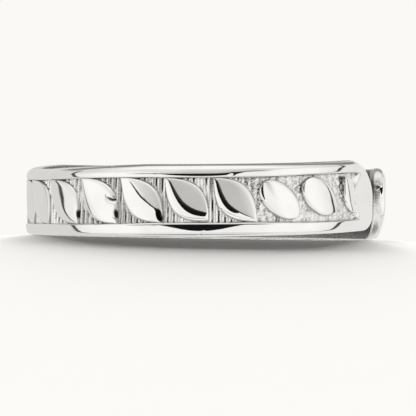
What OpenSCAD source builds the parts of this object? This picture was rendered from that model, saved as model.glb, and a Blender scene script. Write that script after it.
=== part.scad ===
// Open toe ring, cast in one piece: a channel of slanting raised leaves runs
// between two plain polished rails, and both free ends are plain and rounded.
// The ring lies on its side. Its axis is +Z, its lower rim rests on z = 0,
// and the gap between the free ends faces +X.

/* [Ring] */
// Diameter of the hollow that the toe goes through
bore_d = 15; // [12:0.25:20]
// Thickness of the metal at the crests of the rails and the leaves
wall = 0.6; // [0.5:0.05:1.2]
// Width of the band, along the toe
band_w = 3.2; // [3:0.1:6]

/* [Opening] */
// Angle of the gap between the free ends
gap_angle = 27.7; // [12:0.1:60]
// Direction of the middle of the gap, counted from +X
gap_at = -8.85; // [-30:0.05:30]
// How far the springy front end stands above the rest of the band
end_lift = 0.47; // [0:0.01:1]
// Length of the stretch, along the outside, over which the front end rises
lift_len = 18; // [8:0.5:24]

/* [Rails] */
// Width of each plain rail
rail_w = 0.62; // [0.4:0.02:0.9]
// Distance of a rail's crest from the channel
crest_out = 0.17; // [0.1:0.01:0.3]
// How far the rail falls from its crest to the rim
rim_drop = 0.2; // [0.05:0.01:0.3]

/* [Leaves] */
// Number of whole leaves
leaf_count = 20; // [12:1:26]
// Width of the short leaf beside the front end, as a share of the others
short_leaf = 0.6; // [0.4:0.05:1]
// Clear ground between neighbouring leaves at the middle of the channel
leaf_gap = 0.13; // [0.05:0.01:0.4]
// Depth of the ground between the leaves below the crests
ground_depth = 0.22; // [0.1:0.01:0.3]
// How square the bulging sides of a leaf are: 2 is an ellipse
leaf_bulge = 2.8; // [2:0.1:4]
// Place of a leaf's ridge across it, from its lower left side to its upper right one
leaf_ridge = 0.32; // [0.2:0.01:0.8]

/* [Free ends] */
// Length of the plain polished stretch at each free end
plain_len = 1.67; // [1:0.01:3]
// Height of the front end's foremost edge above the end's lower edge
tip_height = 0.68; // [0.4:0.01:1.2]
// Length of the straight stretch of that foremost edge
tip_flat = 0.2; // [0.1:0.01:0.4]
// Length of the large rounded corner above the foremost edge
big_corner_len = 1.98; // [1:0.01:2.4]
// Length of the small rounded corner below the foremost edge
small_corner_len = 0.85; // [0.4:0.01:2]
// How far the outside rounds over towards the tip of each end
nose_drop = 0.2; // [0.05:0.01:0.3]

/* [Hidden] */

bore_r = bore_d / 2;
outer_r = bore_r + wall;
ground_r = outer_r - ground_depth;
// The body is made this much too thick inside, then bored to size
bore_stock = 0.3;
stock_r = bore_r - bore_stock;
// Metal left at the thinnest edges
edge_wall = 0.15;
// Distance of a rail's crest from the rim
crest_in = rail_w - crest_out;
// The two corners of a free end share the width that its foremost edge leaves
small_corner_h = tip_height;
big_corner_h = band_w - tip_height - tip_flat;

// Angles: the rear end comes first, and the band turns with them to the front end
deg_per_mm = 180 / (PI * outer_r);
rear_a = gap_at + gap_angle / 2;
front_a = gap_at - gap_angle / 2 + 360;
plain_a = plain_len * deg_per_mm;
lift_a = lift_len * deg_per_mm;
leaves_a = front_a - rear_a - 2 * plain_a;
pitch_a = leaves_a / (leaf_count + short_leaf);
gap_leaf_a = leaf_gap * deg_per_mm;

// Number of faces across one leaf, across the ground on each side of it,
// along a leaf, over each flank of a rail, and along a plain end
leaf_across = 6;
ground_across = 2;
leaf_along = 10;
flank_steps = [3, 2];
end_steps = 7;

// The ramp from the ground up to the plain end, and the rounding of the nose
ramp_len = 0.12;
nose_len = 0.45;
// How far the middle of each end face stands proud of its edges
end_dome = 0.05;
// Powers that shape a leaf's two flanks and its tips, the plain end's crown
// and the rise of the front
steep_power = 2.6;
gentle_power = 4.5;
tip_power = 0.4;
crown_power = 4;
lift_power = 2.5;

function mix(a, b, share) = a + (b - a) * share;
function clamp01(x) = min(1, max(0, x));
// Fall of a quarter ellipse of the given height, at a place from 0 at its low end to 1
function corner(height, place) = height * (1 - sqrt(1 - pow(1 - clamp01(place), 2)));

// Arc length from a place on the band to its rear and front ends
function from_rear(a) = (a - rear_a) / deg_per_mm;
function from_front(a) = (front_a - a) / deg_per_mm;
function from_end(a) = min(from_rear(a), from_front(a));

// The band's lower and upper edges: the rear end is the front end turned over
function lower_edge(a) = corner(big_corner_h, from_rear(a) / big_corner_len)
    + corner(small_corner_h, from_front(a) / small_corner_len);
function upper_edge(a) = band_w - corner(small_corner_h, from_rear(a) / small_corner_len)
    - corner(big_corner_h, from_front(a) / big_corner_len);
function lift(a) = end_lift * pow(clamp01(1 - (front_a - a) / lift_a), lift_power);
function height_at(a, share) = mix(lower_edge(a), upper_edge(a), share) + lift(a);

// Rail section from the rim to the channel: [distance from the rim, radius]
outer_flank = [for (i = [0 : flank_steps[0]])
    let (turn = 90 * i / flank_steps[0])
        [crest_in * (1 - cos(turn)), outer_r - rim_drop * (1 - sin(turn))]];
inner_flank = [for (i = [1 : flank_steps[1]])
    let (turn = 90 * i / flank_steps[1])
        [mix(crest_in, rail_w, sin(turn)), mix(ground_r, outer_r, cos(turn))]];
rail = concat(outer_flank, inner_flank);

// Rows over the outside from the lower rim to the upper one:
// [share of the width, radius, place down the channel or -1 on a rail, number]
channel_w = band_w - 2 * rail_w;
low_rows = [for (p = rail) [p[0] / band_w, p[1], -1]];
leaf_rows = [for (j = [leaf_along - 1 : -1 : 1])
    let (down = (1 - cos(180 * j / leaf_along)) / 2)
        [(rail_w + channel_w * (1 - down)) / band_w, ground_r, down]];
high_rows = [for (i = [len(rail) - 1 : -1 : 0]) [1 - rail[i][0] / band_w, rail[i][1], -1]];
unnumbered = concat(low_rows, leaf_rows, high_rows);
row_count = len(unnumbered);
rows = [for (j = [0 : row_count - 1]) concat(unnumbered[j], [j])];

// Outline of a leaf in its box: it runs from the upper left to the lower right
function leaf_left(down) = 1 - pow(1 - pow(down, leaf_bulge), 1 / leaf_bulge);
function leaf_right(down) = 1 - leaf_left(1 - down);

// Columns round the band: [angle, width of the leaf's cell or 0, step in the cell]
cell_steps = leaf_across + 2 * ground_across;
function cell(start, width) = [for (i = [0 : cell_steps - 1]) [start, width, i]];
function end_column(i) = plain_a * (1 - cos(90 * i / end_steps));
rear_columns = [for (i = [0 : end_steps - 1]) [rear_a + end_column(i), 0, 0]];
ramp_a = ramp_len * deg_per_mm;
rear_ramp = [[rear_a + plain_a - ramp_a, 0, 0]];
whole_cells = [for (k = [0 : leaf_count - 1])
    each cell(rear_a + plain_a + k * pitch_a, pitch_a)];
short_cell = cell(front_a - plain_a - short_leaf * pitch_a, short_leaf * pitch_a);
front_start = [[front_a - plain_a, 0, 0], [front_a - plain_a + ramp_a, 0, 0]];
front_columns = [for (i = [end_steps - 1 : -1 : 0]) [front_a - end_column(i), 0, 0]];
columns = concat(rear_columns, rear_ramp, whole_cells, short_cell, front_start, front_columns);

// Place of a column across its cell, which follows the leaf's two sides
function across(step, width, down) =
    let (
        margin = gap_leaf_a / 2 / width,
        left = mix(margin, 1 - margin, leaf_left(down)),
        right = mix(margin, 1 - margin, leaf_right(down)),
        on_leaf = (step - ground_across) / leaf_across
    )
    step < ground_across ? left * step / ground_across :
    on_leaf <= 1 ? mix(left, right, (1 - cos(180 * on_leaf)) / 2) :
    mix(right, 1, (step - ground_across - leaf_across) / ground_across);

function column_angle(column, row) =
    column[1] == 0 ? column[0] :
    row[2] < 0 ? column[0] + column[1] * column[2] / cell_steps :
    column[0] + column[1] * across(column[2], column[1], row[2]);

// A leaf stands on the ground and its ridge is level with the rails: it falls
// steeply from the ridge to its lower left side and gently to its upper right one
function leaf_section(place) =
    place < leaf_ridge ? 1 - pow(1 - place / leaf_ridge, steep_power) :
    1 - pow((place - leaf_ridge) / (1 - leaf_ridge), gentle_power);
function dome(step, down) =
    let (on_leaf = clamp01((step - ground_across) / leaf_across))
        ground_depth * leaf_section((1 - cos(180 * on_leaf)) / 2) * pow(sin(180 * down), tip_power);

function radius_at(column, row, a) =
    let (
        share = width_share(column, row, a),
        plain_r = outer_r - rim_drop * pow(abs(2 * share - 1), crown_power),
        plain_share = column[1] > 0 ? 0 : clamp01((plain_len - from_end(a)) / ramp_len),
        relief = row[2] < 0 || column[1] == 0 ? 0 : dome(column[2], row[2])
    )
    max(
        bore_r + edge_wall,
        mix(row[1] + relief, plain_r, plain_share) - corner(nose_drop, from_end(a) / nose_len)
    );

// Towards the tip of a plain end the rows spread evenly over the narrowing band
function width_share(column, row, a) = column[1] > 0 ? row[0] :
    mix(row[3] / (row_count - 1), row[0], clamp01(from_end(a) / plain_len));

function place(r, a, z) = [r * cos(a), r * sin(a), z];

// Each column's ring of points: over the outside, then back down inside
function ring_points(column) = concat(
    [for (row = rows)
        let (a = column_angle(column, row))
            place(radius_at(column, row, a), a, height_at(a, width_share(column, row, a)))],
    [for (row = [rows[row_count - 1], rows[0]])
        let (a = column_angle(column, row))
            place(stock_r, a, height_at(a, row[0]))]
);

ring_len = row_count + 2;
last = len(columns) - 1;

// Each free end is closed by a low dome: a fan about the middle of its wall
dome_a = end_dome * deg_per_mm;
function cap_middle(a, proud) = place((bore_r + outer_r) / 2, a + proud, height_at(a, 0.5));
function cap(first, middle, step) = [for (p = [0 : ring_len - 1])
    let (next = (p + 1) % ring_len)
        step > 0 ? [first + p, first + next, middle] : [first + next, first + p, middle]];

module blank() {
    rings = [for (column = columns) each ring_points(column)];
    points = concat(rings, [cap_middle(rear_a, -dome_a), cap_middle(front_a, dome_a)]);
    sides = [for (c = [0 : last - 1], p = [0 : ring_len - 1])
        let (
            a = c * ring_len + p,
            b = c * ring_len + (p + 1) % ring_len,
            d = a + ring_len,
            e = b + ring_len
        )
        each [[a, b, d], [b, e, d]]];
    rear_cap = cap(0, len(rings), -1);
    front_cap = cap(last * ring_len, len(rings) + 1, 1);
    polyhedron(points = points, faces = concat(sides, rear_cap, front_cap), convexity = 6);
}

module band() {
    clear = 1;
    color("silver")
        difference() {
            blank();
            translate([0, 0, -clear])
                cylinder(r = bore_r, h = band_w + end_lift + 2 * clear, $fn = 180);
        }
}

band();
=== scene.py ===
import math
import random

import bpy
import numpy as np
from mathutils import Matrix, Vector, noise


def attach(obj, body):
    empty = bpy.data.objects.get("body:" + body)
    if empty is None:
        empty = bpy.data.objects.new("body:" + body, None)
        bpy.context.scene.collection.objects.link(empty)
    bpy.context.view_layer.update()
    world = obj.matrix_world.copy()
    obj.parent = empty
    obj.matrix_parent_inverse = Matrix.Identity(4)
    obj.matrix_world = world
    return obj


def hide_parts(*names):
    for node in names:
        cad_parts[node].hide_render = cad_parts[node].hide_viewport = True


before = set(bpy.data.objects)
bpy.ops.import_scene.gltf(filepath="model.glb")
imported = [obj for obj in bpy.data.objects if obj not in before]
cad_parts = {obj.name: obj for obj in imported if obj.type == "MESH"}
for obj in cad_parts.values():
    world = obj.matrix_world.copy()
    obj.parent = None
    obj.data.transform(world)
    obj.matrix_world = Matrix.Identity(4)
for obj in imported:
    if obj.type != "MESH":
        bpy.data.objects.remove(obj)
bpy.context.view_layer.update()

MM = 0.001

# Sizes of the ring, in millimetres and degrees. The angle runs round the axis
# from +X towards +Y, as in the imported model, from the rear end to the front end,
# and the middle of the photographed front is at 270.
BORE_R = 7.5
OUTER_R = 8.1
BAND_W = 3.2
GROUND_DEPTH = 0.22
GROUND_R = OUTER_R - GROUND_DEPTH
RAIL_W = 0.62
REAR_A = 5.0
FRONT_A = 337.3
FRONT_MIDDLE_A = 270.0
DEG_PER_MM = 180.0 / (math.pi * OUTER_R)
# The front end rises to this height over this length, with this power
END_LIFT = 0.47
LIFT_A = 18.0 * DEG_PER_MM
LIFT_POWER = 2.5
# The hand-filed upper edge is a little lower on the left: angles, and drop at each
WAIST_A = [150.0, 180.0, 195.0, 206.0, 230.0, 250.0]
WAIST_DROP = [0.0, 0.2, 0.225, 0.235, 0.1, 0.0]
# The rails are a little narrower away from the middle of the front
NARROWER = 0.064
NARROW_FROM, NARROW_TO = 12.0, 40.0

# The plain free ends: their length, and length of the ramp up from the ground
PLAIN_LEN = 1.67
PLAIN_A = PLAIN_LEN * DEG_PER_MM
RAMP_LEN = 0.16
# Length and height of the two corners of a free end, and of its nose's rounding
BIG_CORNER = (1.98, 2.32)
SMALL_CORNER = (0.85, 0.68)
NOSE = (0.45, 0.2)
# How far the middle of an end's wall stands proud
END_DOME = 0.05
# Fall of a plain end from mid width to its rims, and its power
CROWN_DROP = 0.12
CROWN_POWER = 7
# Length of the front's plain end at mid width, and how much less it is at the rails
FRONT_PLAIN, FRONT_ROUND = 2.02, 1.0
# How far the channel's ends wander, and over what length
WANDER, WANDER_LEN = 0.05, 0.35

# The row of leaves
LEAF_COUNT = 20
SHORT_LEAF = 0.6
LEAF_GAP = 0.13
LEAF_BULGE = 2.8
PITCH_A = (FRONT_A - REAR_A - 2 * PLAIN_A) / (LEAF_COUNT + SHORT_LEAF)
LEAVES_A = REAR_A + PLAIN_A
# Leaves that differ from the rest: box in the cell (left, right, top, bottom) and bulge
PLAIN_BOX = (0.0, 1.0, 0.0, 1.0)
OTHER_BOXES = {
    18: ((0.0, 0.97, 0.08, 0.93), 2.3),
    19: ((0.0, 0.97, 0.06, 0.87), 2.4),
    20: ((0.15, 0.98, 0.07, 0.86), 2.6),
}
# Leaves that are ovals: length and width as shares of the box's diagonals
OVALS = {18: (0.88, 0.54), 19: (0.88, 0.56)}
# Leaves that stand a little aside, in degrees
LEAF_TURNS = {12: -2.0, 13: -1.5, 14: -0.7, 15: -0.2, 16: -0.4, 20: 0.9}


def mix(a, b, share):
    return a + (b - a) * share


def smooth_step(low, high, x):
    t = np.clip((np.asarray(x, float) - low) / (high - low), 0.0, 1.0)
    return t * t * (3.0 - 2.0 * t)


def bell(distance, width):
    return np.exp(-((distance / width) ** 2))


def corner(size, along):
    """Fall of a quarter ellipse of a given length and height, at a distance from its low end."""
    place = np.clip(along / size[0], 0.0, 1.0)
    return size[1] * (1.0 - np.sqrt(1.0 - (1.0 - place) ** 2))


def from_end(angle):
    """Distance in millimetres from the nearest free end."""
    return np.minimum(angle - REAR_A, FRONT_A - angle) / DEG_PER_MM


def edges(angle):
    """Lower and upper edge of the band: the rear end is the front end turned over."""
    rear = (angle - REAR_A) / DEG_PER_MM
    front = (FRONT_A - angle) / DEG_PER_MM
    lift = END_LIFT * np.clip(1.0 - (FRONT_A - angle) / LIFT_A, 0.0, 1.0) ** LIFT_POWER
    low = corner(BIG_CORNER, rear) + corner(SMALL_CORNER, front) + lift
    high = BAND_W - corner(SMALL_CORNER, rear) - corner(BIG_CORNER, front) + lift
    return low, high - np.interp(angle, WAIST_A, WAIST_DROP)


def rail_width(angle):
    aside = np.abs(angle - FRONT_MIDDLE_A)
    return RAIL_W - NARROWER * smooth_step(NARROW_FROM, NARROW_TO, aside)


def spread(height, angle):
    """Height on a band with even rails, moved to where the rails' own width puts it."""
    rail = rail_width(angle)
    from_rim = np.minimum(height, BAND_W - height)
    in_channel = rail + (from_rim - RAIL_W) * (BAND_W - 2 * rail) / (BAND_W - 2 * RAIL_W)
    moved = np.where(from_rim < RAIL_W, from_rim * rail / RAIL_W, in_channel)
    return np.where(height < BAND_W / 2, moved, BAND_W - moved)


def to_points(radius, angle, height):
    turn = np.radians(angle)
    return np.stack([radius * np.cos(turn), radius * np.sin(turn), height], axis=-1)


# How far one more seed moves the noise, in its grains
SEED_STEP = (3.7, 5.3, 7.1)


def grain(points, size, seed):
    """Smooth noise from -1 to 1 at each point, at a grain size in millimetres."""
    offset = Vector([seed * step for step in SEED_STEP])
    flat = points.reshape(-1, 3)
    values = [noise.noise(Vector(p) / size + offset) for p in flat]
    return np.array(values).reshape(points.shape[:-1])


def new_mesh(name, points, faces, sharp_angle):
    mesh = bpy.data.meshes.new(name)
    mesh.from_pydata((np.asarray(points) * MM).tolist(), [], faces)
    mesh.validate()
    mesh.shade_smooth()
    mesh.set_sharp_from_angle(angle=math.radians(sharp_angle))
    obj = bpy.data.objects.new(name, mesh)
    bpy.context.collection.objects.link(obj)
    return obj


def add_attribute(obj, name, values):
    """Store one number for each vertex of the mesh's grid; the few after the grid get 0."""
    filled = np.zeros(len(obj.data.vertices), dtype=np.float32)
    filled[: values.size] = values.ravel()
    obj.data.attributes.new(name, "FLOAT", "POINT").data.foreach_set("value", filled)


# A rail's section by its slope: (distance from the rim, slope in degrees),
# where the slope is positive while the surface faces the rim's side
LOW_RAIL = [
    (0.0, 75), (0.02, 60), (0.045, 45), (0.07, 33), (0.10, 20.5), (0.13, 16), (0.165, 12.5),
    (0.34, 8), (0.45, 4), (0.54, -1.5), (0.56, -15), (0.585, -45), (0.62, -72),
]
HIGH_RAIL = [
    (0.0, 75), (0.02, 60), (0.05, 44), (0.10, 30), (0.18, 23), (0.30, 12), (0.385, 4),
    (0.405, 2), (0.545, -11.5), (0.56, -24), (0.59, -45), (0.62, -70),
]
# Rows of the mesh over one rail, over the channel, round one rim and down the bore
RAIL_ROWS = 19
CHANNEL_ROWS = 31
RIM_ROWS = 7
BORE_ROWS = 5
# How much closer the rows of a rail lie where its section bends
BEND_WEIGHT = 1.2
# Steps in which a table of slopes is summed
FINE_STEPS = 600
# Distance of the first row of the ground from the rail's foot
CHANNEL_MARGIN = 0.03
# The upper rail's crest moves towards its rim along the right of the front
CREST = 0.42
CREST_SHIFT = 0.13
SHIFT_FROM_A, SHIFT_TO_A = 271.0, 286.0
# How far the rims bulge, and how much more towards the rear end, over what angle
RIM_BULGE = 0.05
REAR_BULGE, REAR_BULGE_A = 0.09, 12.0


def rail_section(table):
    """Points (distance from the rim, fall below the crest), closer where the slope turns."""
    distance, slope = np.array(table, float).T
    fine = np.linspace(0.0, distance[-1], FINE_STEPS)
    fine_slope = np.interp(fine, distance, slope)
    step = fine[1] - fine[0]
    fall = -np.cumsum(np.tan(np.radians(fine_slope))) * step
    fall -= fall.min()
    turning = np.abs(np.gradient(fine_slope))
    density = 1.0 / len(fine) + BEND_WEIGHT * turning / turning.sum()
    along = np.cumsum(density)
    at = np.interp(np.linspace(along[0], along[-1], RAIL_ROWS), along, fine)
    return np.stack([at, np.interp(at, fine, fall)], axis=-1)


def section_rows():
    """Rows from the lower rim up: (height, fall below the crest, share of ground)."""
    low = rail_section(LOW_RAIL)
    high = rail_section(HIGH_RAIL)[::-1]
    foot = RAIL_W + CHANNEL_MARGIN
    rows = [(d, fall, 0.0) for d, fall in low]
    rows += [(z, GROUND_DEPTH, 1.0) for z in np.linspace(foot, BAND_W - foot, CHANNEL_ROWS)]
    rows += [(BAND_W - d, fall, 0.0) for d, fall in high]
    return np.array(rows)


def moved_crest(rows, angle):
    """Heights of the rows at each angle, with the upper rail's crest moved towards its rim."""
    shift = CREST_SHIFT * smooth_step(SHIFT_FROM_A, SHIFT_TO_A, angle)[:, None]
    from_rim = BAND_W - rows[None, :, 0]
    outer = from_rim * (1 - shift / CREST)
    inner = RAIL_W - (RAIL_W - from_rim) * (1 + shift / (RAIL_W - CREST))
    moved = np.where(from_rim < CREST, outer, inner)
    return BAND_W - np.where(from_rim <= RAIL_W, moved, from_rim)


def inset_share(height):
    """Share of the width between the two rounded rims; the channel keeps its place."""
    from_rim = np.minimum(height, BAND_W - height)
    inset = mix(RIM_BULGE, 0.0, np.clip(from_rim / RAIL_W, 0.0, 1.0))
    moved = height + np.where(height < BAND_W / 2, inset, -inset)
    return (moved - RIM_BULGE) / (BAND_W - 2 * RIM_BULGE)


def inside_points(angles, low, high, outside_r):
    """From the upper rim over the bore's wall to the lower rim: both rims are rounded."""
    across = (np.arange(RIM_ROWS) + 1.0) / (RIM_ROWS + 1.0)
    rear = 1.0 - smooth_step(REAR_A, REAR_A + REAR_BULGE_A, angles)
    most = (RIM_BULGE + REAR_BULGE * rear)[:, None]
    bulge = most * np.sqrt(np.sin(math.pi * across))[None, :]
    upper_r = mix(outside_r[:, -1:], BORE_R, across[None, :])
    lower_r = mix(BORE_R, outside_r[:, :1], across[None, :])
    wall = np.linspace(1.0, 0.0, BORE_ROWS)[None, :]
    wall_r = np.full((len(angles), BORE_ROWS), BORE_R)
    radius = np.concatenate([upper_r, wall_r, lower_r], axis=1)
    low, high = low[:, None], high[:, None]
    height = np.concatenate([high + bulge, mix(low, high, wall), low - bulge], axis=1)
    angle = np.repeat(angles[:, None], radius.shape[1], axis=1)
    return to_points(radius, angle, height)


# The cast ground has grooves across the band: pitch, angle of one of them, half
# widths of a groove's bottom and of the whole groove as shares of the pitch, depth
GROOVE_PITCH_A = 2.065
GROOVE_AT_A = 269.72
GROOVE_BOTTOM, GROOVE_HALF = 0.05, 0.13
GROOVE_DEPTH = 0.05
# A groove's depth comes and goes along it: mean, amount and length of the change
GROOVE_MEAN, GROOVE_CHANGE, GROOVE_CHANGE_LEN = 0.6, 2.2, 0.55
# The grooves fade between these distances from a leaf
FADE_FROM, FADE_TO = 0.02, 0.2
# The ribs between the grooves are rounded
RIB_ROUND = 0.08
RIB_POWER = 1.3
# The ground leans back a little, so that it faces slightly upwards
GROUND_LEAN = 0.06
# Near both ends the ground is rough instead: angles, and size and height of its grains
ROUGH_FROM_A = 282.0
ROUGH_NEAR_REAR_A = 62.0
ROUGH_BLEND_A = 6.0
GRAINS = [(0.10, 0.045), (0.22, 0.03)]
# How much the grains stand out, and how far their mean level is sunk
GRIT_RELIEF, GRIT_SUNK = 1.6, 0.02
# Painted shade in the rough ground's low places: how fast it grows with depth, from where, and
# most
GRIT_SHADE_RISE, GRIT_SHADE_FROM, GRIT_SHADE = 18, 0.2, 0.6
# Darkness and width of the painted shade in the creases beside the rails and round the leaves
FOOT_SHADE, FOOT_WIDE = 0.55, 0.045
LEAF_SHADE, CREASE_WIDE = 0.3, 0.06
# Columns of the mesh over one groove: at the front, at the back, and on rough ground
FRONT_COLUMNS = [-0.5, -0.42, -0.28, -0.13, -0.05, 0.05, 0.13, 0.28, 0.42]
BACK_COLUMNS = [-0.5, -0.3, -0.13, -0.05, 0.05, 0.13, 0.3]
ROUGH_COLUMNS = [-0.4, -0.2, 0.0, 0.2, 0.4]
# Where the front's columns start, and number of columns over a plain end
FRONT_FROM_A = 180.0
NOSE_COLUMNS = 34
# Least angle between these columns and those of a plain end
COLUMN_CLEAR_A = 0.2
# Seeds of the noises
CHANGE_SEED, GRIT_SEED, WANDER_SEED = 1, 2, 9


def roughness_share(angle):
    """1 where the ground was cast in rough grains, 0 where it has clean grooves."""
    def passage(middle):
        return smooth_step(middle - ROUGH_BLEND_A, middle + ROUGH_BLEND_A, angle)

    return np.maximum(passage(ROUGH_FROM_A), 1 - passage(ROUGH_NEAR_REAR_A))


def body_columns():
    """Angles of the mesh's columns, from the rear end to the front end."""
    nose = PLAIN_A * (1.0 - np.cos(np.linspace(0, math.pi / 2, NOSE_COLUMNS)))
    first, last = REAR_A + nose, FRONT_A - nose[::-1]
    start, end = first[-1], last[0]
    low = math.ceil((start - GROOVE_AT_A) / GROOVE_PITCH_A)
    high = math.floor((end - GROOVE_AT_A) / GROOVE_PITCH_A)
    middle = []
    for k in range(low, high + 1):
        at = GROOVE_AT_A + k * GROOVE_PITCH_A
        smooth = FRONT_COLUMNS if at > FRONT_FROM_A else BACK_COLUMNS
        phases = ROUGH_COLUMNS if roughness_share(at) > 0.5 else smooth
        middle.append(at + np.array(phases) * GROOVE_PITCH_A)
    middle = np.concatenate(middle)
    clear = (middle > start + COLUMN_CLEAR_A) & (middle < end - COLUMN_CLEAR_A)
    return np.concatenate([first, middle[clear], last])


def beyond_leaf(u, v, bulge):
    """Distance beyond a leaf's sides at a place in its box, as a share of the box's width."""
    v = np.clip(v, 0.0, 1.0)
    left_side = 1.0 - (1.0 - v**bulge) ** (1.0 / bulge)
    right_side = (1.0 - (1.0 - v) ** bulge) ** (1.0 / bulge)
    return np.maximum(left_side - u, u - right_side)


def beyond_oval(u, v, size):
    """The same beyond an oval leaf's side."""
    long, wide = size
    return (np.hypot((u + v - 1) / long, (u - v) / wide) - 1) * wide / 2


def leaf_distance(angle, height):
    """Distance in millimetres from the nearest leaf's side, over the ground."""
    cell = (angle - LEAVES_A) / PITCH_A
    number = np.clip(np.floor(cell), 0, LEAF_COUNT)
    width = np.where(number < LEAF_COUNT, 1.0, SHORT_LEAF)
    margin = LEAF_GAP * DEG_PER_MM / 2 / PITCH_A
    low, high = edges(angle)
    rail = rail_width(angle)
    down = (BAND_W - rail - (height - low) / (high - low) * BAND_W) / (BAND_W - 2 * rail)
    nearest = np.empty(angle.shape)
    for index in np.unique(number).astype(int):
        (left, right, top, bottom), bulge = OTHER_BOXES.get(index, (PLAIN_BOX, LEAF_BULGE))
        here = number == index
        turned = LEAF_TURNS.get(index, 0.0) / PITCH_A
        along = (cell[here] - turned - index - margin) / (width[here] - 2 * margin)
        u = (along - left) / (right - left)
        v = (down[here] - top) / (bottom - top)
        if index in OVALS:
            reach = beyond_oval(u, v, OVALS[index])
        else:
            reach = beyond_leaf(u, v, bulge) * (right - left)
        nearest[here] = reach * PITCH_A / DEG_PER_MM
    return nearest


def ground_relief(points, angle, height):
    """Height of the cast ground over its own level, and its painted shade: black in the grooves,
    in the grit's low places and in the creases round the leaves.
    """
    phase = (angle - GROOVE_AT_A) / GROOVE_PITCH_A
    phase = np.abs(phase - np.round(phase))
    change = GROOVE_CHANGE * grain(points, GROOVE_CHANGE_LEN, CHANGE_SEED)
    beside_leaf = leaf_distance(angle, height)
    groove = 1.0 - smooth_step(GROOVE_BOTTOM, GROOVE_HALF, phase)
    groove = groove * np.clip(GROOVE_MEAN + change, 0, 1)
    groove = groove * smooth_step(FADE_FROM, FADE_TO, beside_leaf)
    ribs = -GROOVE_DEPTH * groove - RIB_ROUND * (1.0 - 2.0 * phase) ** RIB_POWER
    ribs = ribs - GROUND_LEAN * (height - BAND_W / 2)
    grit = sum(tall * grain(points, size, GRIT_SEED + i) for i, (size, tall) in enumerate(GRAINS))
    rough = roughness_share(angle)
    relief = mix(ribs, grit * GRIT_RELIEF - GRIT_SUNK, rough)
    # Painted shade: darker where the grit lies low, and along the leaves' sides
    grit_shade = np.clip(-grit * GRIT_SHADE_RISE - GRIT_SHADE_FROM, 0, 1) * GRIT_SHADE
    crease = LEAF_SHADE * (1.0 - smooth_step(0.0, CREASE_WIDE, beside_leaf))
    # The grooves are painted black as shade, as far as they are deep
    return relief, np.maximum(mix(groove, grit_shade, rough), crease)


def foot_shade(rows):
    """Painted shade: a dark line in the crease between each rail and the channel, for each row.
    """
    from_rim = np.minimum(rows[:, 0], BAND_W - rows[:, 0])
    return FOOT_SHADE * (1.0 - smooth_step(0.0, FOOT_WIDE, np.abs(from_rim - RAIL_W)))


# Small marks of wear on the rails: angle, height, length and width in
# millimetres, lean from level in degrees, and depth
DENTS = [
    (277.6, 2.78, 0.14, 0.06, 15, 0.012),
    (268.1, 0.13, 0.16, 0.04, 35, 0.02),
    (237.6, 3.15, 0.08, 0.05, 60, 0.025),
    (310.0, 2.74, 0.12, 0.05, 10, 0.03),
]


def dents(angle, height):
    total = np.zeros_like(angle)
    for at, z, length, width, lean, depth in DENTS:
        along = (angle - at) / DEG_PER_MM
        up = height - z
        turn = math.radians(lean)
        u = along * math.cos(turn) + up * math.sin(turn)
        v = up * math.cos(turn) - along * math.sin(turn)
        total += depth * bell(u, length) * bell(v, width)
    return total


def plain_share(angle, height):
    """1 on the plain free ends, 0 over the leaves: the channel ends in an uneven round."""
    low, high = edges(angle)
    middle = 2.0 * (height - low) / (high - low) - 1.0
    front = FRONT_A - angle < angle - REAR_A
    reach = np.where(front, FRONT_PLAIN - FRONT_ROUND * middle**2, PLAIN_LEN)
    surface = to_points(OUTER_R, angle, height)
    reach = reach + WANDER * grain(surface, WANDER_LEN, WANDER_SEED)
    return 1.0 - smooth_step(reach - RAMP_LEN, reach, from_end(angle))


# How rough the skin of the grooved ground, of the rough ground and of the bore is,
# and how dark the bore's wall is painted, as shade inside the band
GROOVE_SATIN, GRIT_SATIN, BORE_SATIN = 0.45, 0.75, 0.75
BORE_SHADE = 0.6
# Edges that bend by more than this many degrees stay sharp
BODY_SHARP_A, LEAF_SHARP_A = 50, 60


def end_caps(points, index, following, angles, middle_height):
    """Close both free ends by a low dome about one more point; returns the dome's faces."""
    faces = []
    for column, out in ((0, -1), (len(angles) - 1, 1)):
        top = len(points)
        angle = angles[column] + out * END_DOME * DEG_PER_MM
        points.append(to_points((BORE_R + OUTER_R) / 2, angle, middle_height[column]).tolist())
        for a, b in zip(index[column].tolist(), following[column].tolist()):
            faces.append((a, b, top) if out > 0 else (b, a, top))
    return faces


def finish_body(body, shape, angle, ground, shade):
    """Attributes for the material: the painted shade of each place, and how roughly cast it is.
    """
    outside = angle.shape[1]
    bore = slice(outside + RIM_ROWS, outside + RIM_ROWS + BORE_ROWS)
    hollow = np.zeros(shape)
    hollow[:, :outside] = shade
    hollow[:, bore] = BORE_SHADE
    add_attribute(body, "hollow", hollow)
    cast = np.full(shape, BORE_SATIN)
    cast[:, :outside] = ground * mix(GROOVE_SATIN, GRIT_SATIN, roughness_share(angle))
    add_attribute(body, "cast", cast)


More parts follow.
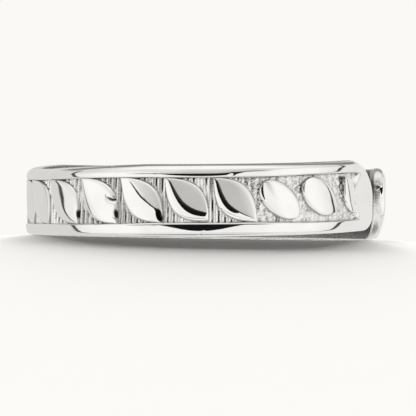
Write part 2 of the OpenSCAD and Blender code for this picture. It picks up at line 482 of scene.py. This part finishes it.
def make_body():
    rows = section_rows()
    angles = body_columns()
    low, high = edges(angles)
    low, high = low + RIM_BULGE, high - RIM_BULGE
    own = inset_share(spread(moved_crest(rows, angles), angles[:, None]))
    even = np.linspace(0.0, 1.0, len(rows))[None, :]
    to_tip = from_end(angles)[:, None]
    share = mix(even, own, smooth_step(0.0, PLAIN_LEN, to_tip))
    angle = np.repeat(angles[:, None], len(rows), axis=1)
    height = low[:, None] + share * (high - low)[:, None]

    plain = plain_share(angle, height)
    relief, hollow = ground_relief(to_points(GROUND_R, angle, height), angle, height)
    ground = rows[None, :, 2] * (1.0 - plain)
    crown = CROWN_DROP * np.abs(2 * share - 1) ** CROWN_POWER
    fall = mix(rows[None, :, 1] - relief * ground, crown, plain)
    outside_r = OUTER_R - (fall + corner(NOSE, to_tip) + dents(angle, height))

    outside = to_points(outside_r, angle, height)
    loops = np.concatenate([outside, inside_points(angles, low, high, outside_r)], axis=1)
    shape = loops.shape[:2]
    index = np.arange(shape[0] * shape[1]).reshape(shape)
    following = np.roll(index, -1, axis=1)
    sides = np.stack([index[:-1], index[1:], following[1:], following[:-1]], axis=-1)
    points = loops.reshape(-1, 3).tolist()
    faces = sides.reshape(-1, 4).tolist()
    faces += end_caps(points, index, following, angles, (low + high) / 2)
    body = new_mesh("band_body", points, faces, BODY_SHARP_A)
    # Painted shade over the outside: the ground's, and the dark lines at the rails' feet
    foot = foot_shade(rows)[None, :] * (1.0 - plain)
    finish_body(body, shape, angle, ground, np.maximum(hollow * ground, foot))
    return body


# Steps of the mesh along and across a leaf, depth of its root below the ground,
# and how far its lowest edge may dip below the ground
LEAF_ALONG = 44
LEAF_ACROSS = 30
LEAF_ROOT = 0.25
LEAF_SINK = 0.015
# Width of a leaf's section at its widest
LEAF_WIDE = 1.59
# A leaf's section by its slope: (share of the width from its lower left side, slope
# in degrees), where the slope is positive while the surface faces that side
LEAF_SLOPES = [
    (0.0, 55), (0.043, 42), (0.055, 24), (0.075, 18), (0.12, 14.5), (0.165, 9), (0.28, -1.5),
    (0.33, -4), (0.42, -6.5), (1.0, -9),
]
STEEP_SLOPES = [
    (0.0, 55), (0.043, 42), (0.06, 27), (0.14, 19), (0.155, 15), (0.275, -2.5), (0.33, -4.5),
    (0.42, -6.5), (1.0, -9),
]
SEAM_SLOPES = [
    (0.0, 55), (0.04, 40), (0.05, 26), (0.07, 15), (0.11, 10), (0.20, 6), (0.24, 3),
    (0.28, -1.5), (0.33, -4), (0.42, -6.5), (1.0, -9),
]
MIDDLE_SLOPES = [
    (0.0, 55), (0.043, 42), (0.055, 24), (0.10, 15), (0.15, 6), (0.5, 3), (0.56, 1.5),
    (0.61, -3), (0.64, -8), (1.0, -11),
]
WIDE_SLOPES = [
    (0.0, 55), (0.043, 42), (0.055, 24), (0.10, 17.5), (0.19, 12.5), (0.23, 9), (0.385, -1.5),
    (0.43, -4), (0.5, -6.5), (1.0, -9),
]
OVAL_SLOPES = [(0.0, 50), (0.06, 25), (0.12, 10), (0.25, 4), (0.5, 0.5), (0.75, -4), (1.0, -7)]
OTHER_SLOPES = {
    14: SEAM_SLOPES, 15: MIDDLE_SLOPES, 16: WIDE_SLOPES, 17: STEEP_SLOPES,
    18: OVAL_SLOPES, 19: OVAL_SLOPES, 20: OVAL_SLOPES,
}
# The same for the rounding of the other side: (share of the width from that side, slope)
SIDE_SLOPES = [(0.0, 48), (0.05, 23), (0.10, 5), (0.2, 0), (1.0, 0)]
# The section narrows with this power of the leaf's width towards its two tips, and
# with other powers towards some lower tips
TIP_POWER = 0.6
LOWER_POWERS = {14: 0.3, 16: 0.12}
# Least width of the section, as a share of the widest
TIP_WIDTH = 0.002
# Fall along a leaf towards its lower right tip: where it starts and how it bends
AXIS_FROM = -0.1
AXIS_BEND = 0.03
# The leaves differ a little in how deep they fall: shares of the table's, and seed
DEPTH_LOW, DEPTH_HIGH = 0.95, 1.05
DEPTH_SEED = 7
# A notch in a leaf: place of its point in the leaf's box, reach, fall and width,
# its depth, and the share of its reach over which it deepens
NOTCHES = {14: (0.66, 0.38, 0.45, 0.10, 0.045)}
NOTCH_DEPTH = 0.09
NOTCH_START = 0.25
# Pits beside the lower tip of some leaves, painted dark as shade: place in the leaf's box, width
# and height as shares of it, depth and lean
PITS = {13: (1.0, 0.80), 14: (0.98, 0.80), 15: (0.95, 0.86)}
PIT_WIDE, PIT_TALL, PIT_DEPTH, PIT_LEAN = 0.055, 0.12, 0.03, 0.25
# Where the painted shade beside a leaf's edge ends, in millimetres from it, and where the
# painted shade of a notch and of a pit starts and is full, as shares of the depth
SIDE_SHADE = (0.01, 0.05)
NOTCH_SHADE = (0.4, 0.9)
PIT_SHADE = (0.25, 0.6)


def fall_from(table, place):
    """Fall below the highest place, in millimetres, at each place across a leaf."""
    along, slope = np.array(table, float).T
    fine = np.linspace(0.0, 1.0, FINE_STEPS)
    rise = np.cumsum(np.tan(np.radians(np.interp(fine, along, slope)))) * fine[1] * LEAF_WIDE
    return np.interp(place, fine, rise.max() - rise)


def leaf_fall(number, across, half):
    """Fall of a leaf's surface over its grid."""
    lower = LOWER_POWERS.get(number, TIP_POWER)
    steps = np.arange(len(half))
    power = np.where(steps < len(half) / 2, TIP_POWER, lower)
    scale = (np.maximum(half, TIP_WIDTH) ** power)[:, None]
    width = half[:, None] * np.ones_like(across)[None, :]
    left = across[None, :] * width / scale
    right = (1 - across)[None, :] * width / scale
    table = OTHER_SLOPES.get(number, LEAF_SLOPES)
    return scale * (fall_from(table, left) + fall_from(SIDE_SLOPES, right))


def leaf_grid(number, bulge):
    """Places over a leaf in its box, place across it, and its width as a share of the widest."""
    phi = np.linspace(0.0, math.pi / 2, LEAF_ALONG + 1)
    across = (1.0 - np.cos(np.linspace(0.0, math.pi, LEAF_ACROSS + 1))) / 2.0
    if number in OVALS:
        long, wide = OVALS[number]
        half = np.sin(2 * phi)
        along = -np.cos(2 * phi)[:, None] * long
        aside = half[:, None] * (2 * across - 1)[None, :] * wide
        return (1 + along + aside) / 2, (1 + along - aside) / 2, across, half
    far = np.sin(phi) ** (2.0 / bulge)
    near = 1.0 - np.cos(phi) ** (2.0 / bulge)
    right = near[:, None] + (far - near)[:, None] * across[None, :]
    down = far[:, None] + (near - far)[:, None] * across[None, :]
    return right, down, across, (far - near) / (far - near).max()


def notch(number, right, down):
    """Share of the notch's depth at each place of a leaf."""
    if number not in NOTCHES:
        return np.zeros_like(right)
    x, y, reach, fall, width = NOTCHES[number]
    along = np.clip((right - x) / reach, 0, 1)
    centre = y + fall * np.sin(math.pi * along)
    return smooth_step(0.0, NOTCH_START, along) * bell(down - centre, width)


def pit(number, right, down):
    """Share of the pit's depth at each place of a leaf."""
    if number not in PITS:
        return np.zeros_like(right)
    x, y = PITS[number]
    lean = PIT_LEAN * (down - y)
    return bell(right - x - lean, PIT_WIDE) * bell(down - y, PIT_TALL)


def shell_faces(rows, columns):
    """Faces of a leaf: its top, its two side walls down to its root, and its underside."""
    index = np.arange(rows * columns).reshape(rows, columns)
    top = np.stack([index[:-1, :-1], index[1:, :-1], index[1:, 1:], index[:-1, 1:]], axis=-1)
    faces = top.reshape(-1, 4).tolist()
    left, right = index[:, 0].tolist(), index[:, -1].tolist()
    for i in range(rows - 1):
        a = rows * columns + 2 * i
        b, c, d = a + 1, a + 2, a + 3
        faces += [(left[i], a, c, left[i + 1]), (right[i + 1], d, b, right[i]), (a, b, d, c)]
    return faces


def leaf_shell(number, start, width, draw):
    """Points, faces and painted shades of one leaf: it slants down to the lower right of its
    cell.
    """
    (left, right, top, bottom), bulge = OTHER_BOXES.get(number, (PLAIN_BOX, LEAF_BULGE))
    deeper = draw.uniform(DEPTH_LOW, DEPTH_HIGH)
    channel_w = BAND_W - RAIL_W - RAIL_W
    margin = LEAF_GAP * DEG_PER_MM / 2
    aside, down, across, half = leaf_grid(number, bulge)
    long = (width / DEG_PER_MM - LEAF_GAP) * (right - left)
    tall = channel_w * (bottom - top)
    x, y = aside * long - long / 2, down * tall - tall / 2
    axis = (x * long + y * tall) / math.hypot(long, tall)
    fall = leaf_fall(number, across, half) * deeper
    fall = fall + AXIS_BEND * np.clip(axis - AXIS_FROM, 0, None) ** 2
    cut = notch(number, aside, down)
    hole = pit(number, aside, down)

    angle = start + margin + (width - 2 * margin) * mix(left, right, aside)
    low, high = edges(angle)
    even_height = mix(BAND_W - RAIL_W, RAIL_W, mix(top, bottom, down))
    height = low + spread(even_height, angle) / BAND_W * (high - low)
    radius = np.maximum(OUTER_R - fall, GROUND_R - LEAF_SINK)
    radius = radius - NOTCH_DEPTH * cut - PIT_DEPTH * hole
    surface = to_points(radius, angle, height)
    root = to_points(np.full_like(radius, GROUND_R - LEAF_ROOT), angle, height)
    points = surface.reshape(-1, 3).tolist() + root[:, [0, -1]].reshape(-1, 3).tolist()

    # Painted shade: dark along the leaf's sides, in the notch and pit, and black down its walls
    # to the root
    to_side = np.minimum(across, 1 - across)[None, :] * LEAF_WIDE * half[:, None]
    shade = LEAF_SHADE * (1.0 - smooth_step(*SIDE_SHADE, to_side))
    shade = np.maximum(shade, smooth_step(*NOTCH_SHADE, cut))
    shade = np.maximum(shade, smooth_step(*PIT_SHADE, hole))
    shades = shade.ravel().tolist() + [1.0] * (2 * len(half))
    return points, shell_faces(*angle.shape), shades


def make_leaves():
    draw = random.Random(DEPTH_SEED)
    points, faces, shades = [], [], []
    for number in range(LEAF_COUNT + 1):
        start = LEAVES_A + number * PITCH_A + LEAF_TURNS.get(number, 0.0)
        width = PITCH_A if number < LEAF_COUNT else SHORT_LEAF * PITCH_A
        leaf_points, leaf_faces, leaf_shades = leaf_shell(number, start, width, draw)
        shift = len(points)
        points += leaf_points
        faces += [tuple(i + shift for i in face) for face in leaf_faces]
        shades += leaf_shades
    leaves = new_mesh("leaf_relief", points, faces, LEAF_SHARP_A)
    add_attribute(leaves, "hollow", np.array(shades))
    return leaves


class NodeKit:
    """Short names for the nodes of one tree. An input is a number, a colour or a socket."""

    def __init__(self, tree):
        self.nodes, self.links = tree.nodes, tree.links

    def feed(self, socket, value):
        if isinstance(value, (int, float, tuple)):
            socket.default_value = value
        else:
            self.links.new(value, socket)

    def math(self, kind, a, b=0.0, clamp=False):
        node = self.nodes.new("ShaderNodeMath")
        node.operation = kind
        node.use_clamp = clamp
        self.feed(node.inputs[0], a)
        self.feed(node.inputs[1], b)
        return node.outputs[0]

    def ranged(self, value, low, high, start=0.0, end=1.0, kind="LINEAR"):
        """Passage from start to end while the value goes from low to high."""
        node = self.nodes.new("ShaderNodeMapRange")
        node.interpolation_type = kind
        self.feed(node.inputs["Value"], value)
        limits = {"From Min": low, "From Max": high, "To Min": start, "To Max": end}
        for name, limit in limits.items():
            node.inputs[name].default_value = limit
        return node.outputs["Result"]

    def colour(self, first, second, share):
        """Colour between two others; share 1 gives the second."""
        node = self.nodes.new("ShaderNodeMix")
        node.data_type = "RGBA"
        for socket, value in ((0, share), (6, first), (7, second)):
            self.feed(node.inputs[socket], value)
        return node.outputs[2]

    def attribute(self, name):
        node = self.nodes.new("ShaderNodeAttribute")
        node.attribute_name = name
        return node.outputs["Fac"]

    def texture(self, place, size, detail):
        """Noise over a place, at a grain size in millimetres."""
        node = self.nodes.new("ShaderNodeTexNoise")
        node.inputs["Scale"].default_value = 1.0 / (size * MM)
        node.inputs["Detail"].default_value = detail
        self.feed(node.inputs["Vector"], place)
        return node.outputs["Fac"]

    def bump(self, height, strength, tall, below=None):
        """Normal of a relief of this height in millimetres, over another one's normal."""
        node = self.nodes.new("ShaderNodeBump")
        node.inputs["Strength"].default_value = strength
        node.inputs["Distance"].default_value = tall * MM
        self.feed(node.inputs["Height"], height)
        if below is not None:
            self.feed(node.inputs["Normal"], below)
        return node.outputs["Normal"]


# The silver's colours, and the black that paints shade and dark speckles
CLEAN_SILVER = (0.962, 0.957, 0.943, 1.0)
TARNISHED_SILVER = (0.915, 0.905, 0.88, 1.0)
SHADE_AND_SPECKLE_BLACK = (0.02, 0.019, 0.018, 1.0)
# Noises of the finish: grain size in millimetres and detail
TARNISH_GRAIN = (1.1, 3.0)
SPECKLE_GRAIN = (0.09, 2.0)
POLISH_GRAIN = (0.5, 4.0)
SKIN_GRAIN = (0.07, 2.0)
WAVE_GRAIN = (0.25, 3.0)
# What a value from the first number to the second one gives: the third to the fourth
TARNISH_SHARE = (0.45, 0.75, 0.0, 1.0)
SPECKLE_SHADE = (0.52, 0.62, 0.0, 0.2)
POLISH_ROUGHNESS = (0.3, 0.8, 0.03, 0.075)
SKIN_ROUGHNESS = (0.0, 1.0, 0.0, 0.3)
# Reliefs of the finish: strength, and height in millimetres
SKIN_BUMP = (1.0, 0.012)
WAVE_BUMP = (0.25, 0.002)


def silver_material():
    mat = bpy.data.materials.new("polished_silver")
    mat.use_nodes = True
    kit = NodeKit(mat.node_tree)
    shader = kit.nodes["Principled BSDF"]
    shader.inputs["Metallic"].default_value = 1.0
    place = kit.nodes.new("ShaderNodeTexCoord").outputs["Object"]
    # Painted shade stored on the meshes: how far each place is painted black
    hollow = kit.attribute("hollow")
    cast = kit.attribute("cast")

    # Clean metal, faint tarnish in patches, dark speckles on the cast ground, and black painted
    # as shade in the creases, grooves, pits and bore
    tarnish = kit.ranged(kit.texture(place, *TARNISH_GRAIN), *TARNISH_SHARE)
    metal = kit.colour(CLEAN_SILVER, TARNISHED_SILVER, tarnish)
    speckle = kit.ranged(kit.texture(place, *SPECKLE_GRAIN), *SPECKLE_SHADE)
    speckle = kit.math("MULTIPLY", speckle, cast, clamp=True)
    dark = kit.math("ADD", hollow, speckle, clamp=True)
    kit.feed(shader.inputs["Base Color"], kit.colour(metal, SHADE_AND_SPECKLE_BLACK, dark))

    # Polish on the crests, a satin skin on the cast ground
    polish = kit.ranged(kit.texture(place, *POLISH_GRAIN), *POLISH_ROUGHNESS)
    skin = kit.ranged(cast, *SKIN_ROUGHNESS)
    kit.feed(shader.inputs["Roughness"], kit.math("ADD", polish, skin, clamp=True))

    # A fine grain on the cast ground, and faint polishing waves everywhere
    skin_height = kit.math("MULTIPLY", kit.texture(place, *SKIN_GRAIN), cast, clamp=True)
    skin_normal = kit.bump(skin_height, *SKIN_BUMP)
    waves = kit.texture(place, *WAVE_GRAIN)
    kit.feed(shader.inputs["Normal"], kit.bump(waves, *WAVE_BUMP, below=skin_normal))
    return mat


silver = silver_material()
for piece in (make_body(), make_leaves()):
    piece.data.materials.append(silver)
    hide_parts("band")
    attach(piece, "root")


# The floor is level under the ring and falls away from it very gently, so that
# the low camera sees the soft shadow: radius of the level part and of the whole
# floor in metres, fall per metre, and the level part's height
LEVEL_R = 0.0084
FLOOR_R = 1.0
FLOOR_FALL = 0.07
FLOOR_TOP = -0.00001
FLOOR_SIDES = 96
FLOOR_COLOUR = (0.937, 0.928, 0.896, 1.0)


def floor_material():
    mat = bpy.data.materials.new("pale_floor")
    mat.use_nodes = True
    nodes, links = mat.node_tree.nodes, mat.node_tree.links
    nodes.remove(nodes["Principled BSDF"])
    matt = nodes.new("ShaderNodeBsdfDiffuse")
    matt.inputs["Color"].default_value = FLOOR_COLOUR
    links.new(matt.outputs[0], nodes["Material Output"].inputs["Surface"])
    return mat


def make_floor():
    turns = [2 * math.pi * i / FLOOR_SIDES for i in range(FLOOR_SIDES)]
    foot = FLOOR_TOP - FLOOR_FALL * (FLOOR_R - LEVEL_R)
    points = []
    for radius, height in ((LEVEL_R, FLOOR_TOP), (FLOOR_R, foot)):
        points += [(radius * math.cos(t), radius * math.sin(t), height) for t in turns]
    faces = [tuple(range(FLOOR_SIDES))]
    for i in range(FLOOR_SIDES):
        following = (i + 1) % FLOOR_SIDES
        faces.append((i, i + FLOOR_SIDES, following + FLOOR_SIDES, following))
    mesh = bpy.data.meshes.new("floor")
    mesh.from_pydata(points, [], faces)
    mesh.materials.append(floor_material())
    floor = bpy.data.objects.new("floor", mesh)
    bpy.context.collection.objects.link(floor)
    # The studio's light stands for the table in the polished metal
    floor.visible_glossy = False


make_floor()


# Camera: a long lens, level with the ring and just above the floor. Its distance
# is in metres, its height in millimetres, its roll in degrees.
VIEW_DISTANCE = 0.4
CAMERA_HEIGHT = 1.2
ROLL = 0.9
# Width of its sensor in millimetres, and nearest and farthest distance seen in metres
SENSOR = 36.0
NEAR, FAR = 0.01, 10.0
# The photograph's side and scale, and where the middle of the ring is in it
IMAGE_SIDE = 416
PIXELS_PER_MM = 22.3
RING_CENTRE_PX = (207.0, 202.0)


def make_camera():
    data = bpy.data.cameras.new("camera")
    camera = bpy.data.objects.new("camera", data)
    bpy.context.collection.objects.link(camera)
    frame_side = IMAGE_SIDE / PIXELS_PER_MM * MM
    data.sensor_width = SENSOR
    data.lens = SENSOR * VIEW_DISTANCE / frame_side
    data.clip_start = NEAR
    data.clip_end = FAR
    target = Vector((0, 0, BAND_W / 2 * MM))
    place = Vector((0, -VIEW_DISTANCE, CAMERA_HEIGHT * MM))
    turn = (target - place).to_track_quat("-Z", "Y").to_matrix().to_4x4()
    lean = Matrix.Rotation(math.radians(ROLL), 4, "Z")
    camera.matrix_world = Matrix.Translation(place) @ turn @ lean
    data.shift_x = (IMAGE_SIDE / 2 - RING_CENTRE_PX[0]) / IMAGE_SIDE
    data.shift_y = (RING_CENTRE_PX[1] - IMAGE_SIDE / 2) / IMAGE_SIDE
    bpy.context.scene.camera = camera
    bpy.context.scene.view_settings.view_transform = "Standard"


make_camera()


# The studio that the polished metal reflects, by the direction of its light:
# azimuth from -Y towards +X, side (the azimuth's size) and height, in degrees.
# A ramp is given as (from, to, value at its start, value at its end), without the
# values where they are 0 and 1, and a band as (from, to, softness of each end).

# A plain room, brighter on the right
ROOM = (-60, 60, 0.70, 0.83)
# A pale tent in front of it, whose edge leans outwards with the height
TENT_EDGE, TENT_LEAN, TENT_LOW = 94, 0.3, -40
TENT_SOFT = 1
TENT_FRONT = 0.93
TENT_SIDE = (66, 94, 1.0, 0.86)
TENT_SIDE_SHARE = (35, 50)
TENT_UPWARD = (5, 28, 1.0, 0.82)
# A grey panel in front, softer the higher it is
PANEL_LEFT, PANEL_RIGHT = -33, 41
PANEL_UPWARD = (2, 45, 0.53, 0.74)
PANEL_GLOW = (-30, -10, 0.13, 0.0)
PANEL_SOFTER, PANEL_RIGHT_SOFT = 0.6, 3.0
PANEL_FOOT = (-4, 1)
# The ceiling, which comes lower towards the sides, and a dark opening behind
CEILING_AT, CEILING_DIP, CEILING_SOFT = 45, 0.001, 3.0
CEILING = (60, 100, 1.0, 0.72)
OPENING_LIGHT = 0.25
OPENING_SIDE = (105, 120)
OPENING_HEIGHT = (34, 66, 4, 6)
# A bright strip below the tent, and a darker room right below
STRIP_LIGHT = 0.95
STRIP_HEIGHT = (TENT_LOW - 4, TENT_LOW - 1, 1.0, 0.0)
STRIP_SIDE = (90, 96, 1.0, 0.0)
BELOW_LIGHT = 0.3
BELOW_HEIGHT = (-72, -62, 1.0, 0.0)
# The dark round of the camera's lens, and a thin dark line at its level
LENS_LIGHT = 0.008
LENS_AT, LENS_HALF, LENS_DEPTH = -3.0, 28.0, 25.0
LENS_FOOT = (-0.7, 0.7)
LENS_TOP = (2.3, 3.7, 1.0, 0.0)
LENS_SIDE = (0.0, 0.06)
LINE_LIGHT = 0.03
LINE_AT, LINE_HALF, LINE_HEIGHT = -7.0, 47.0, 1.0
LINE_THICK, LINE_MOST, LINE_SOFT = 7.0, 2.6, 0.4
# A dark post beside the panel
POST_LIGHT = 0.03
POST_AZIMUTH = (-35.0, -32.2, 0.5, 0.5)
POST_HEIGHT = (-3, 5, 2, 3)
# Dark seams along the tent's edge and along its foot
SEAM_LIGHT, SEAM_HALF, SEAM_SOFT = 0.06, 1.8, 0.8
SEAM_HEIGHT = (TENT_LOW, 90, 1, 1)
SEAM_TOP_SOFT = 2.0
FOOT_LIGHT, FOOT_HALF, FOOT_SOFT = 0.25, 1.4, 0.8
FOOT_SIDE = (TENT_EDGE, TENT_EDGE + 1, 1.0, 0.0)

# Colours of the brightest and the darkest reflection, and behind the floor
WHITE = (1.0, 0.995, 0.98, 1.0)
BLACK = (0.0, 0.0, 0.0, 1.0)
BACKDROP = (0.956, 0.947, 0.914, 1.0)
# Share of the floor's light that the low strip gives; the even rest comes from the world
LOW_SHARE = 0.88


class StudioKit(NodeKit):
    """The world's nodes, with the direction of the light in degrees."""

    def __init__(self, tree):
        super().__init__(tree)
        split = self.nodes.new("ShaderNodeSeparateXYZ")
        self.feed(split.inputs[0], self.nodes.new("ShaderNodeTexCoord").outputs["Generated"])
        toward = self.both(split.outputs["Y"], -1.0)
        degrees = 180 / math.pi
        self.azimuth = self.both(self.math("ARCTAN2", split.outputs["X"], toward), degrees)
        self.height = self.both(self.math("ARCSINE", split.outputs["Z"]), degrees)
        self.side = self.math("ABSOLUTE", self.azimuth)
        self.up = self.math("MAXIMUM", self.height, 0.0)
        leaning = self.less(self.side, self.both(self.up, TENT_LEAN))
        self.from_edge = self.less(leaning, TENT_EDGE)
        dip = self.both(self.both(self.side, self.side), CEILING_DIP)
        self.ceiling_from = self.less(CEILING_AT, dip)

    def both(self, a, b):
        return self.math("MULTIPLY", a, b)

    def less(self, a, b):
        return self.math("SUBTRACT", a, b)

    def ramp(self, value, low, high, start=0.0, end=1.0):
        """Smooth passage from start to end while the value goes from low to high."""
        return self.ranged(value, low, high, start, end, kind="SMOOTHSTEP")

    def unit_step(self, value, soft):
        """0 below minus soft and 1 above soft, which may be a number or a socket."""
        return self.ramp(self.math("DIVIDE", value, soft), -1.0, 1.0)

    def band(self, value, low, high, soft_low, soft_high):
        """1 between two limits, with a soft passage at each."""
        rise = self.ramp(value, low - soft_low, low + soft_low)
        fall = self.ramp(value, high - soft_high, high + soft_high, 1.0, 0.0)
        return self.both(rise, fall)

    def blend(self, below, above, share):
        """Number between two others; share 1 gives the second."""
        node = self.nodes.new("ShaderNodeMix")
        for socket, value in ((0, share), (2, below), (3, above)):
            self.feed(node.inputs[socket], value)
        return node.outputs[0]

    def arch(self, middle, half):
        """1 at the middle azimuth, 0 at half the width from it, and less beyond."""
        offset = self.math("DIVIDE", self.less(self.azimuth, middle), half)
        return self.less(1.0, self.both(offset, offset))


# Each part of the studio gives its brightness and its share of each direction
def tent(kit):
    inside = kit.ramp(kit.from_edge, -TENT_SOFT, TENT_SOFT, 1.0, 0.0)
    above = kit.ramp(kit.height, TENT_LOW - TENT_SOFT, TENT_LOW + TENT_SOFT)
    side_share = kit.ramp(kit.side, *TENT_SIDE_SHARE)
    wall = kit.blend(TENT_FRONT, kit.ramp(kit.side, *TENT_SIDE), side_share)
    return kit.both(wall, kit.ramp(kit.height, *TENT_UPWARD)), kit.both(inside, above)


def panel(kit):
    glow = kit.ramp(kit.azimuth, *PANEL_GLOW)
    light = kit.math("ADD", kit.ramp(kit.height, *PANEL_UPWARD), glow)
    soft = kit.math("ADD", 1.0, kit.both(kit.up, PANEL_SOFTER))
    left = kit.unit_step(kit.less(kit.azimuth, PANEL_LEFT), soft)
    right_soft = kit.math("ADD", soft, PANEL_RIGHT_SOFT)
    right = kit.unit_step(kit.less(PANEL_RIGHT, kit.azimuth), right_soft)
    return light, kit.both(kit.both(left, right), kit.ramp(kit.height, *PANEL_FOOT))


def ceiling(kit):
    above = kit.unit_step(kit.less(kit.height, kit.ceiling_from), CEILING_SOFT)
    return kit.ramp(kit.side, *CEILING), above


def opening(kit):
    across = kit.ramp(kit.side, *OPENING_SIDE)
    return OPENING_LIGHT, kit.both(across, kit.band(kit.height, *OPENING_HEIGHT))


def strip(kit):
    across = kit.ramp(kit.side, *STRIP_SIDE)
    return STRIP_LIGHT, kit.both(kit.ramp(kit.height, *STRIP_HEIGHT), across)


def room_below(kit):
    return BELOW_LIGHT, kit.ramp(kit.height, *BELOW_HEIGHT)


def lens(kit):
    arch = kit.arch(LENS_AT, LENS_HALF)
    over_foot = kit.less(kit.height, kit.both(arch, -LENS_DEPTH))
    within = kit.both(kit.ramp(over_foot, *LENS_FOOT), kit.ramp(kit.height, *LENS_TOP))
    return LENS_LIGHT, kit.both(within, kit.ramp(arch, *LENS_SIDE))


def line(kit):
    arch = kit.arch(LINE_AT, LINE_HALF)
    thick = kit.math("MINIMUM", kit.both(arch, LINE_THICK), LINE_MOST)
    away = kit.math("ABSOLUTE", kit.less(kit.height, LINE_HEIGHT))
    return LINE_LIGHT, kit.unit_step(kit.less(thick, away), LINE_SOFT)


def post(kit):
    across = kit.band(kit.azimuth, *POST_AZIMUTH)
    return POST_LIGHT, kit.both(across, kit.band(kit.height, *POST_HEIGHT))


def edge_seam(kit):
    across = kit.band(kit.from_edge, -SEAM_HALF, SEAM_HALF, SEAM_SOFT, SEAM_SOFT)
    along = kit.both(across, kit.band(kit.height, *SEAM_HEIGHT))
    below = kit.unit_step(kit.less(kit.ceiling_from, kit.height), SEAM_TOP_SOFT)
    return SEAM_LIGHT, kit.both(along, below)


def foot_seam(kit):
    low, high = TENT_LOW - FOOT_HALF, TENT_LOW + FOOT_HALF
    across = kit.band(kit.height, low, high, FOOT_SOFT, FOOT_SOFT)
    return FOOT_LIGHT, kit.both(across, kit.ramp(kit.side, *FOOT_SIDE))


# From the farthest part to the nearest
STUDIO_PARTS = [
    tent, panel, ceiling, opening, strip, room_below, lens, line, post, edge_seam, foot_seam,
]


def studio_world():
    world = bpy.data.worlds.new("studio")
    bpy.context.scene.world = world
    world.use_nodes = True
    kit = StudioKit(world.node_tree)
    light = kit.ramp(kit.azimuth, *ROOM)
    for part in STUDIO_PARTS:
        light = kit.blend(light, *part(kit))
    reflected = kit.colour(BLACK, WHITE, light)
    path = kit.nodes.new("ShaderNodeLightPath")
    even = 1.0 - LOW_SHARE
    lit = kit.colour(reflected, (even, even, even, 1.0), path.outputs["Is Diffuse Ray"])
    seen = kit.colour(lit, BACKDROP, path.outputs["Is Camera Ray"])
    background = kit.nodes["Background"]
    kit.feed(background.inputs["Color"], seen)
    background.inputs["Strength"].default_value = 1.0


# Low strip of light far behind, which draws the soft shadow in front of the
# ring: its distance and width in metres, and its lowest and highest angle
LOW_DISTANCE = 100.0
LOW_WIDTH = 60.0
LOW_FROM_A, LOW_TO_A = 5.0, 30.0
# Places over its width and height where its light is summed
LOW_ACROSS, LOW_UP = 41, 21


def low_light():
    bottom = LOW_DISTANCE * math.tan(math.radians(LOW_FROM_A))
    top = LOW_DISTANCE * math.tan(math.radians(LOW_TO_A))
    data = bpy.data.lights.new("low_strip", "AREA")
    data.shape = "RECTANGLE"
    data.size = LOW_WIDTH
    data.size_y = top - bottom
    # Mean over the strip of how strongly it would light a spot at the ring's middle, if
    # the floor sloped there as it does in front of the ring
    aside = np.linspace(-0.5, 0.5, LOW_ACROSS)[:, None] * LOW_WIDTH
    up = np.linspace(bottom, top, LOW_UP)[None, :]
    reach = LOW_DISTANCE**2 + aside**2 + up**2
    fallen = np.mean(LOW_DISTANCE * (up - FLOOR_FALL * LOW_DISTANCE) / reach**2)
    data.energy = LOW_SHARE * math.pi**2 / float(fallen)
    lamp = bpy.data.objects.new("low_strip", data)
    bpy.context.collection.objects.link(lamp)
    lamp.location = (0.0, LOW_DISTANCE, (top + bottom) / 2)
    lamp.rotation_euler = (math.radians(-90), 0.0, 0.0)
    lamp.visible_glossy = False
    lamp.visible_camera = False


studio_world()
low_light()
